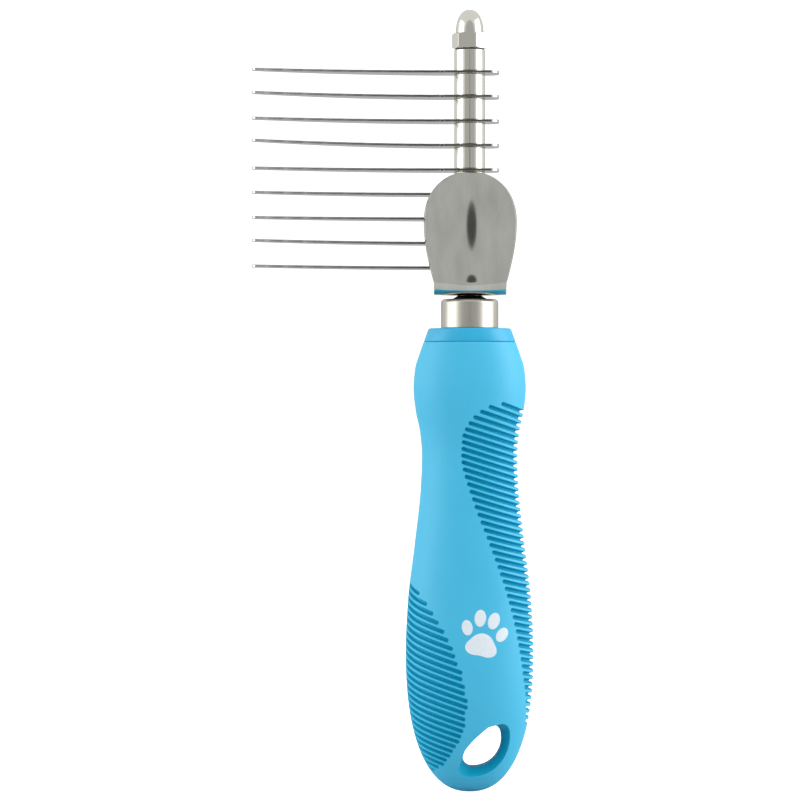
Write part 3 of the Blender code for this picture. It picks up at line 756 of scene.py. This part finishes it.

# ---------------------------------------------------------------- conical spring washer
# A small cone of spring steel, oil blackened, that keeps the stack tight on the ferrule's top.
# Its near-black colour is partly painted shade for the gap between the ferrule and the thumb rest's
# foot, where it shows as a dark line.

# Heat-treated spring steel: near black oxide, its darkness partly painted shade for the gaps round
# the washers, with a dull oily gloss, lighter where it rubs.
blackened_steel_and_gap_shade, tree, shader = new_finish("spring_steel_blackened_and_painted_gap_shade", Metallic=1.0)
scale_marks = noise(tree, 1800.0, 4.0)
vary(tree, shader, (scale_marks, "3A3A3A", "6E6D6A"), (scale_marks, 0.3, 0.5))

low, high = box_of("cone_washer")
profile = [(2.71, low.z + 0.2), (2.9, low.z), (high.x - 0.1, low.z), (high.x, low.z + 0.1)]
profile += [(3.2, high.z - 0.08), (3.1, high.z), (2.85, high.z), (2.71, high.z - 0.1)]
cone_washer = turned("cone_washer_visual", profile)
cone_washer.data.materials.append(blackened_steel_and_gap_shade)
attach(cone_washer, "comb")
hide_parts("cone_washer")

# ---------------------------------------------------------------- thumb rest
# A plate of 1.2 mm stainless steel, pressed to a shallow dish for the thumb, polished, and bent
# back at its foot into a flange with a hole keyed to the rod's flats.

# Mirror-polished stainless sheet: a cool grey mirror with a breath of haze and hairline
# scratches along the buffing direction, drawn about four times as wide as real.
thumb_rest_steel, tree, shader = new_finish("stainless_sheet_polished", Metallic=1.0)
smears = noise(tree, 1.0, 3.0, (260.0, 120.0, 90.0), (0.0, 0.5, 0.0))
hairlines = noise(tree, 1.0, 2.0, (7000.0, 500.0, 180.0), (0.0, 0.35, 0.0))
haze = noise(tree, 220.0, 3.0)
vary(
    tree, shader, (smears, "B4B6AF", "E6E7E0"), (haze, 0.04, 0.1), (hairlines, 0.12, 0.000004)
)

# REST_PLANE is the plate's y at its foot; the curves are those of the dish, in 1/mm.
REST_SHEET, REST_BEND, REST_PLANE = 1.2, 2.6, -8.0
ACROSS_CURVE, LONG_CURVE, ROOT_CURVE = 0.0128, 0.00415, 0.0145
REST_HALF_WIDTH, REST_FOOT, FLANGE_RADIUS = 11.65, 9.2, 5.6
REST_POWER = 2.15
low, high = box_of("thumb_rest")
flange_z = low.z + 0.5 * REST_SHEET
plate_low = flange_z + REST_BEND
widest_z, deepest_z, root_z = [HANDLE_END + height for height in (145.0, 141.6, 133.1)]
crown = high.z - widest_z
bend_y = REST_PLANE + REST_BEND


def patch(bottom, top, left, right, columns, rows):
    """Rows of points spanned between four edge curves, each a function from 0 to 1."""
    grid = []
    for row in range(rows + 1):
        v = row / rows
        line = []
        for column in range(columns + 1):
            u = column / columns
            sides = left(v) * (1.0 - u) + right(v) * u
            ends = bottom(u) * (1.0 - v) + top(u) * v
            corners = (bottom(0.0) * (1.0 - u) + bottom(1.0) * u) * (1.0 - v)
            corners += (top(0.0) * (1.0 - u) + top(1.0) * u) * v
            line.append(sides + ends - corners)
        grid.append(line)
    return grid


def crown_point(turn):
    """Point of the plate's rounded top edge, as (x, z)."""
    across, up = math.cos(turn), math.sin(turn)
    x = math.copysign(abs(across) ** (2.0 / REST_POWER), across) * REST_HALF_WIDTH
    return Vector((x, widest_z + crown * abs(up) ** (2.0 / REST_POWER)))


def plate_side(v, side):
    """Point of the plate's side edge: straight taper, then the start of the rounded top."""
    straight = 0.62  # the share of the rows below the rounded top
    if v < straight:
        t = v / straight
        half = REST_FOOT + (REST_HALF_WIDTH - REST_FOOT) * math.sin(0.5 * math.pi * t)
        return Vector((side * half, plate_low + (widest_z - plate_low) * t))
    turn = 0.25 * math.pi * (v - straight) / (1.0 - straight)
    point = crown_point(turn)
    return Vector((side * point.x, point.y))


def centre_depth(z):
    """How far back the dish's centre line lies: a long shallow arc, turned up at its root."""
    below = max(root_z - z, 0.0)
    root_slope = 2.0 * LONG_CURVE * (deepest_z - root_z)
    arc = -LONG_CURVE * (max(z, root_z) - deepest_z) ** 2
    return arc - root_slope * below + ROOT_CURVE * below**2


def dished(point):
    """A flat plate point (x, z) pressed to the dish."""
    depth = centre_depth(point.y) - centre_depth(plate_low) - ACROSS_CURVE * point.x**2
    return (point.x, REST_PLANE + depth, point.y)


def flange_side(v, side):
    """Point of the flange's side edge, from the bend to the start of its round end, as (x, y)."""
    if v < 0.5:
        t = v / 0.5
        ease = t * t * (3.0 - 2.0 * t)
        return Vector((side * (REST_FOOT + (FLANGE_RADIUS - REST_FOOT) * ease), bend_y * (1.0 - t)))
    turn = 0.25 * math.pi * (v - 0.5) / 0.5
    return Vector((side * FLANGE_RADIUS * math.cos(turn), FLANGE_RADIUS * math.sin(turn)))


def foot_edge(y):
    """The patches' straight common edge along the bend, as a function from 0 to 1."""
    return lambda u: Vector((REST_FOOT * (2.0 * u - 1.0), y))


def flange_end(u):
    turn = math.radians(135.0 - 90.0 * u)
    return Vector((FLANGE_RADIUS * math.cos(turn), FLANGE_RADIUS * math.sin(turn)))


def plate_end(u):
    return crown_point(math.radians(135.0 - 90.0 * u))


COLUMNS, FLANGE_ROWS, BEND_ROWS, PLATE_ROWS = 48, 22, 12, 56
sides = [lambda v, side=side: flange_side(v, side) for side in (-1.0, 1.0)]
flange = patch(foot_edge(bend_y), flange_end, *sides, COLUMNS, FLANGE_ROWS)
sides = [lambda v, side=side: plate_side(v, side) for side in (-1.0, 1.0)]
plate = patch(foot_edge(plate_low), plate_end, *sides, COLUMNS, PLATE_ROWS)
sheet_rows = [[(p.x, p.y, flange_z) for p in line] for line in reversed(flange)]
for step in range(1, BEND_ROWS):
    turn = 0.5 * math.pi * step / BEND_ROWS
    y, z = bend_y - REST_BEND * math.sin(turn), flange_z + REST_BEND * (1.0 - math.cos(turn))
    hollow = ACROSS_CURVE * (step / BEND_ROWS) ** 2
    across = [REST_FOOT * (2.0 * u / COLUMNS - 1.0) for u in range(COLUMNS + 1)]
    sheet_rows.append([(x, y - hollow * x**2, z) for x in across])
sheet_rows += [[dished(p) for p in line] for line in plate]
shape = bmesh.new()
grid = [[shape.verts.new(Vector(point) * 0.001) for point in line] for line in sheet_rows]
for before, after in zip(grid, grid[1:]):
    for step in range(COLUMNS):
        shape.faces.new((before[step], before[step + 1], after[step + 1], after[step]))
mesh = mesh_of(shape, "thumb_rest_visual")
rest = new_object("thumb_rest_visual", mesh)
wall = rest.modifiers.new("sheet", "SOLIDIFY")
wall.thickness = REST_SHEET * 0.001
wall.offset = 0.0
wall.use_even_offset = True
rim = rest.modifiers.new("rim", "BEVEL")
rim.width = 0.00014
rim.segments = 3
rim.angle_limit = math.radians(50.0)
key_outline = [point[:2] for point in rod_ring(0.0, ROD_RADIUS + 0.2, ROD_FLATS + 0.2)]
shaped = rest.evaluated_get(bpy.context.evaluated_depsgraph_get())
rest_mesh = bpy.data.meshes.new_from_object(shaped)
rest.modifiers.clear()
rest.data = rest_mesh
rest_key = prism("rest_key", key_outline, flange_z - 2.0, flange_z + 2.0)
carve(rest, [rest_key], thumb_rest_steel)
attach(rest, "comb")
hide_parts("thumb_rest")

# ---------------------------------------------------------------- spacers
# Ten tubes cut from nickel-plated steel bar, one under each blade and one on top of the stack,
# with turned ends whose corners are just broken.

low, high = box_of("spacer_10")
pitch = box_of("spacer_9")[0].z - low.z
bore, radius, length = 2.8, high.x, high.z - low.z
half_profile = [(bore, 0.12), (bore + 0.12, 0.0), (radius - 0.14, 0.0)]
half_profile += [(radius - 0.04, 0.04), (radius, 0.14)]
profile = half_profile + [(r, length - z) for r, z in reversed(half_profile)]
spacer = turned("spacer_blank", profile)


def stack(name, blank, first_z, count, finish, extra=None, kept=None):
    """Copies of a blank along the rod, one pitch apart, as one plain mesh."""
    inputs = {"Blank": "Object", "Count": "Int", "First": "Vector", "Pitch": "Vector"}
    tree, source = new_tree(name, inputs)
    places = add_node(
        tree,
        "GeometryNodeMeshLine",
        {"Count": source["Count"], "Start Location": source["First"], "Offset": source["Pitch"]},
    )
    one = add_node(tree, "GeometryNodeObjectInfo", {"Object": source["Blank"]})
    copies = add_node(
        tree,
        "GeometryNodeInstanceOnPoints",
        {"Points": places.outputs[0], "Instance": one.outputs["Geometry"]},
    )
    result = copies.outputs[0]
    if extra:
        result = extra(tree, result)
    piece = new_object(name, bpy.data.meshes.new(name))
    values = {"Blank": blank, "Count": count, "First": (0.0, 0.0, first_z * 0.001)}
    values.update({"Pitch": (0.0, 0.0, pitch * 0.001), "Finish": finish})
    run_tree(piece, tree, source, result, values, kept=kept)
    bpy.data.objects.remove(blank)
    return piece


spacers = stack("spacers", spacer, low.z, 10, nickel_plate)
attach(spacers, "comb")
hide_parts(*[f"spacer_{number}" for number in range(1, 11)])

# ---------------------------------------------------------------- blades
# Nine sickle blades blanked from 0.8 mm hardened stainless strip: a scalloped and honed inner
# edge, a ground outer edge, a rounded and polished nose, and a rounded heel keyed to the rod.

# Ground stainless strip: a grey satin mirror with fine grinding lines along the blade, drawn
# about twice as coarse as the real 0.05 mm.
blade_steel, tree, shader = new_finish("stainless_strip_ground", Metallic=1.0)
lines = noise(tree, 1.0, 2.0, (160.0, 9000.0, 9000.0))
vary(tree, shader, (lines, "B4B5B2", "CFD0CC"), (lines, 0.12, 0.32), (lines, 0.2, 0.000008))

# The land along the cutting edge is coloured a darker grey, lighter towards the tip, with a little
# random unevenness.
blade_edge, tree, shader = new_finish("hardened_edge_land", Metallic=1.0, Roughness=0.34)
place = add_node(tree, "ShaderNodeTexCoord").outputs["Object"]
axes = add_node(tree, "ShaderNodeSeparateXYZ", {"Vector": place})
values = {"Value": axes.outputs["X"], "From Min": -0.05, "From Max": -0.012}
tipward_fade = add_node(tree, "ShaderNodeMapRange", {**values, "To Min": 0.75, "To Max": 0.0})
values = {0: noise(tree, 500.0, 3.0), 1: 0.5, 2: -0.2}
uneven = add_node(tree, "ShaderNodeMath", values, operation="MULTIPLY_ADD")
values = {0: tipward_fade.outputs[0], 1: uneven.outputs[0]}
land_tone = add_node(tree, "ShaderNodeMath", values, operation="ADD")
vary(tree, shader, (land_tone.outputs[0], "5E5E5B", "B2B3AF"))

BLADE_SHEET, NOSE_RADIUS = 0.8, 1.2
SHANK_X, BLADE_HALF, HEEL_CORNER = -7.0, 4.6, 2.9
SWEEP, HOLLOW, SPINE_CROWN = 4.2, 1.5, 2.2
SCALLOP_PITCH, SCALLOP_DEPTH, SCALLOP_START = 5.0, 0.3, -52.6
CHOIL_X, CHOIL_DEPTH, LAND_END = -7.6, 0.5, 5.5
low, high = box_of("blade_9")
tip_x, heel_x = low.x, high.x
nose_x = tip_x + NOSE_RADIUS
nose_y = -BLADE_HALF - SWEEP + NOSE_RADIUS


def blade_edges(x):
    """Y of the cutting edge and of the spine at x."""
    if x < nose_x:
        reach = math.sqrt(max(NOSE_RADIUS**2 - (x - nose_x) ** 2, 0.0))
        return nose_y - reach, nose_y + reach
    if x > heel_x - HEEL_CORNER:
        over = x - (heel_x - HEEL_CORNER)
        reach = BLADE_HALF - HEEL_CORNER + math.sqrt(max(HEEL_CORNER**2 - over**2, 0.0))
        return -reach, reach
    if x > SHANK_X:
        edge, spine = -BLADE_HALF, BLADE_HALF
    else:
        t = (SHANK_X - x) / (SHANK_X - nose_x)
        arch = 4.0 * t * (1.0 - t)
        edge = -BLADE_HALF - SWEEP * t + HOLLOW * arch
        spine = BLADE_HALF + (nose_y + NOSE_RADIUS - BLADE_HALF) * t + SPINE_CROWN * arch
    if SCALLOP_START < x < CHOIL_X:
        wave = math.sin(math.pi * (x - SCALLOP_START) / SCALLOP_PITCH)
        edge += SCALLOP_DEPTH * abs(wave) ** 1.3
    if CHOIL_X <= x < CHOIL_X + 1.0:
        edge += CHOIL_DEPTH * math.sin(math.pi * (x - CHOIL_X))
    return edge, spine


def blade_section(x):
    """Closed section of the blade across its length, with a bevelled edge and spine."""
    edge, spine = blade_edges(x)
    width = spine - edge
    edge_bevel, spine_bevel = min(0.7, 0.3 * width), min(0.25, 0.2 * width)
    half, land, back = 0.5 * BLADE_SHEET, 0.24, 0.28
    return [
        (x, edge, -land), (x, edge + edge_bevel, -half), (x, spine - spine_bevel, -half),
        (x, spine, -back), (x, spine, back), (x, spine - spine_bevel, half),
        (x, edge + edge_bevel, half), (x, edge, land),
    ]


root_x, corner_x = CHOIL_X + 1.1, heel_x - HEEL_CORNER
stations = [nose_x - NOSE_RADIUS * math.cos(0.5 * math.pi * step / 9) for step in range(10)]
stations += [nose_x + (root_x - nose_x) * step / 200 for step in range(1, 201)]
stations += [root_x + (corner_x - root_x) * step / 8 for step in range(1, 9)]
stations += [corner_x + HEEL_CORNER * math.sin(0.5 * math.pi * step / 10) for step in range(1, 11)]
blade = skin("blade_blank", [blade_section(x) for x in stations], sharp_angle=18.0)
blade.data.materials.append(blade_steel)
blade.data.materials.append(blade_edge)
for face in blade.data.polygons:
    on_land = face.center.y < 0.0 and face.normal.y < -0.5 and abs(face.normal.z) < 0.2
    face.material_index = int(on_land and SCALLOP_START < 1000.0 * face.center.x < LAND_END)
key = prism("blade_key", key_outline, -2.0, 2.0)
carve(blade, [key], blade_steel, sharp_angle=18.0, kept=blade_edge)

# Each blade is set by hand and rises a little towards its tip, from blade 9 up to blade 1.
TIP_RISES = [0.3, 0.56, 0.13, 0.26, 0.18, 1.0, 0.36, 0.64, 0.26]


def set_blades(tree, copies):
    """Bends each copy upwards towards its tip by its own rise."""
    number = add_node(tree, "GeometryNodeInputIndex")
    rise = add_node(tree, "GeometryNodeIndexSwitch", data_type="FLOAT")
    while len(rise.index_switch_items) < len(TIP_RISES):
        rise.index_switch_items.new()
    tree.links.new(number.outputs[0], rise.inputs["Index"])
    for item, value in enumerate(TIP_RISES):
        rise.inputs[item + 1].default_value = value * 0.001
    kept = add_node(
        tree,
        "GeometryNodeStoreNamedAttribute",
        {"Geometry": copies, "Name": "tip_rise", "Value": rise.outputs[0]},
        data_type="FLOAT",
        domain="INSTANCE",
    )
    real = add_node(tree, "GeometryNodeRealizeInstances", {"Geometry": kept.outputs[0]})
    place = add_node(tree, "GeometryNodeInputPosition")
    axes = add_node(tree, "ShaderNodeSeparateXYZ", {"Vector": place.outputs[0]})
    values = {"Value": axes.outputs["X"], "From Min": SHANK_X * 0.001, "From Max": tip_x * 0.001}
    reach = add_node(tree, "ShaderNodeMapRange", values)
    bend = add_node(tree, "ShaderNodeMath", {0: reach.outputs[0], 1: 1.6}, operation="POWER")
    own = add_node(tree, "GeometryNodeInputNamedAttribute", {"Name": "tip_rise"}, data_type="FLOAT")
    values = {0: bend.outputs[0], 1: own.outputs["Attribute"]}
    lift = add_node(tree, "ShaderNodeMath", values, operation="MULTIPLY")
    offset = add_node(tree, "ShaderNodeCombineXYZ", {"Z": lift.outputs[0]})
    values = {"Geometry": real.outputs[0], "Offset": offset.outputs[0]}
    moved = add_node(tree, "GeometryNodeSetPosition", values)
    return moved.outputs[0]


blades = stack("blades", blade, 0.5 * (low.z + high.z), 9, blade_steel, set_blades, blade_edge)
shade(blades.data, 18.0)
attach(blades, "comb")
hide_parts(*[f"blade_{number}" for number in range(1, 10)])

# ---------------------------------------------------------------- nut washer
# A thin blackened steel washer between the top spacer and the acorn nut, which turns on it; its
# dark colour is partly painted shade for the gap line under the nut. It is drawn as rising with the
# nut when the nut is unscrewed.

low, high = box_of("nut_washer")
profile = [(2.7, low.z + 0.05), (2.75, low.z), (high.x - 0.08, low.z), (high.x, low.z + 0.08)]
profile += [(high.x, high.z - 0.08), (high.x - 0.08, high.z), (2.75, high.z), (2.7, high.z - 0.05)]
nut_washer = turned("nut_washer_visual", profile)
nut_washer.data.materials.append(blackened_steel_and_gap_shade)
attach(nut_washer, "nut_carriage")
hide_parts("nut_washer")

# ---------------------------------------------------------------- acorn nut
# A cold-formed M5 domed cap nut, nickel plated: a hexagon 8 mm across flats with chamfered
# corners under a tall polished dome, and a blind threaded hole from below.

NUT_WIDTH, HEX_HEIGHT, HEX_EDGE, DOME_RADIUS, DOME_POWER = 8.0, 4.0, 0.18, 3.55, 2.2
NUT_TURN, NUT_BORE, BORE_DEPTH = math.radians(50.0), 2.6, 7.3
CHAMFER_REACH, CHAMFER_DROP = 1.6, 0.88
low, high = box_of("acorn_nut")
hexagon = []
for corner in range(6):
    middle = NUT_TURN + math.radians(60.0 * corner)
    centre = NUT_WIDTH / math.sqrt(3.0) - HEX_EDGE / math.cos(math.radians(30.0))
    for step in range(-2, 3):
        turn = middle + math.radians(15.0 * step)
        x, y = centre * math.cos(middle), centre * math.sin(middle)
        hexagon.append((x + HEX_EDGE * math.cos(turn), y + HEX_EDGE * math.sin(turn)))
acorn_nut = prism("acorn_nut_visual", held(hexagon), low.z, high.z)
hex_top = low.z + HEX_HEIGHT
shoulder = 0.5 * NUT_WIDTH * 0.98
wide = shoulder + CHAMFER_REACH
rings = [circle(0.001, high.z, 128)]
for step in range(1, 29):
    turn = 0.5 * math.pi * step / 28
    reach = DOME_RADIUS * math.sin(turn) ** (2.0 / DOME_POWER)
    rise = (high.z - hex_top) * max(math.cos(turn), 0.0) ** (2.0 / DOME_POWER)
    rings.append(circle(reach, hex_top + max(rise, 0.05), 128))
rings += [circle(DOME_RADIUS + 0.08, hex_top, 128), circle(shoulder, hex_top - 0.02, 128)]
rings += [circle(wide, z, 128) for z in (hex_top - CHAMFER_DROP, low.z + CHAMFER_DROP)]
rings += [circle(shoulder, low.z, 128), circle(0.001, low.z, 128)]
carve(acorn_nut, [skin("nut_envelope", rings)], nickel_plate, "INTERSECT")
bore_rings = [circle(2.9, low.z - 0.5), circle(2.9, low.z), circle(NUT_BORE, low.z + 0.3)]
bore_rings += [circle(NUT_BORE, low.z + BORE_DEPTH - 0.6), circle(0.4, low.z + BORE_DEPTH)]
carve(acorn_nut, [skin("nut_bore", bore_rings)], nickel_plate, sharp_angle=28.0)
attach(acorn_nut, "nut")
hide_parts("acorn_nut")

# ---------------------------------------------------------------- studio
# A plain white floor under a white surround, soft light from all sides with a key from the upper
# right, and grey cards before and behind, which give the polished metal its darker middle.

floor_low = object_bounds()[0][2] - 0.0003
shape = bmesh.new()
corners = [(-4.0, -0.25), (4.0, -0.25), (4.0, 5.0), (-4.0, 5.0)]
shape.faces.new([shape.verts.new((x, y, floor_low)) for x, y in corners])
mesh = mesh_of(shape, "floor")
floor = new_object("floor", mesh)
floor_paper, tree, shader = new_finish(
    "matt_background_paper", Base_Color=linear("C8C8C8"), Roughness=0.9
)
shader.inputs["Emission Color"].default_value = linear("FFFFFF")
seen = add_node(tree, "ShaderNodeLightPath").outputs["Is Camera Ray"]
tree.links.new(seen, shader.inputs["Emission Strength"])
floor.data.materials.append(floor_paper)

world = bpy.data.worlds.new("studio")
bpy.context.scene.world = world
world.use_nodes = True
tree = world.node_tree
tree.nodes.clear()
look = add_node(tree, "ShaderNodeTexCoord").outputs["Generated"]
axes = add_node(tree, "ShaderNodeSeparateXYZ", {"Vector": look})
# Grey cards 38 degrees round the front and round the back, the back one with a white middle.
turn_round = add_node(
    tree, "ShaderNodeMapRange", {"Value": axes.outputs["Y"], "From Min": -1.0, "From Max": 1.0}
)
cards = add_node(tree, "ShaderNodeValToRGB", {0: turn_round.outputs[0]})
ramp = cards.color_ramp.elements
GREY, PALE = 0.56, 0.95
stops = [(0.0, GREY), (0.095, GREY), (0.125, PALE), (0.875, PALE)]
stops += [(0.905, GREY), (0.975, GREY), (0.99, 1.0)]
ramp[0].position, ramp[1].position = stops[0][0], stops[-1][0]
for position, _ in stops[1:-1]:
    ramp.new(position)
for element, (_, level) in zip(ramp, stops):
    element.color = (level, level, level, 1.0)
# The dark lens opening in the middle of the front card, taller than it is wide.
flattened = add_node(
    tree, "ShaderNodeVectorMath", {0: look, 1: (1.45, 0.0, 1.0)}, operation="MULTIPLY"
)
off_axis = add_node(tree, "ShaderNodeVectorMath", {0: flattened.outputs[0]}, operation="LENGTH")
values = {0: axes.outputs["Y"], 1: 0.0}
in_front = add_node(tree, "ShaderNodeMath", values, operation="GREATER_THAN")
values = {0: off_axis.outputs["Value"], 1: in_front.outputs[0]}
distance = add_node(tree, "ShaderNodeMath", values, operation="ADD")
values = {"Value": distance.outputs[0], "From Min": 0.075, "From Max": 0.11, "To Min": 0.15}
opening = add_node(tree, "ShaderNodeMapRange", values, interpolation_type="SMOOTHSTEP")
values = {0: cards.outputs[0], 1: opening.outputs[0]}
strength = add_node(tree, "ShaderNodeMath", values, operation="MULTIPLY")
values = {"Color": linear("FFFFFF"), "Strength": strength.outputs[0]}
lit = add_node(tree, "ShaderNodeBackground", values)
plain = add_node(tree, "ShaderNodeBackground", {"Color": linear("FFFFFF"), "Strength": 1.2})
seen = add_node(tree, "ShaderNodeLightPath").outputs["Is Camera Ray"]
mixed = add_node(tree, "ShaderNodeMixShader", {0: seen, 1: lit.outputs[0], 2: plain.outputs[0]})
add_node(tree, "ShaderNodeOutputWorld", {"Surface": mixed.outputs[0]})


def soft_light(name, place, power):
    """A square soft light aimed at the middle of the comb."""
    lamp = bpy.data.lights.new(name, "AREA")
    lamp.size = 0.9
    lamp.energy = power
    holder = bpy.data.objects.new(name, lamp)
    holder.location = place
    aim = Vector((0.0, 0.0, 0.03)) - Vector(place)
    holder.rotation_euler = aim.to_track_quat("-Z", "Y").to_euler()
    bpy.context.scene.collection.objects.link(holder)


soft_light("box_right", (0.95, -0.2, 0.3), 7.0)
soft_light("box_left", (-0.95, -0.2, 0.2), 4.6)

# White paper and white ink have to come out white, so the view is not filmic.
bpy.context.scene.view_settings.view_transform = "Standard"
lens = bpy.data.cameras.new("camera")
lens.lens = 176.1
lens.sensor_width = 36.0
camera = bpy.data.objects.new("camera", lens)
camera.location = (-0.0178, -1.0, 0.040)
camera.rotation_euler = (math.radians(90.0), 0.0, 0.0)
bpy.context.scene.collection.objects.link(camera)
bpy.context.scene.camera = camera
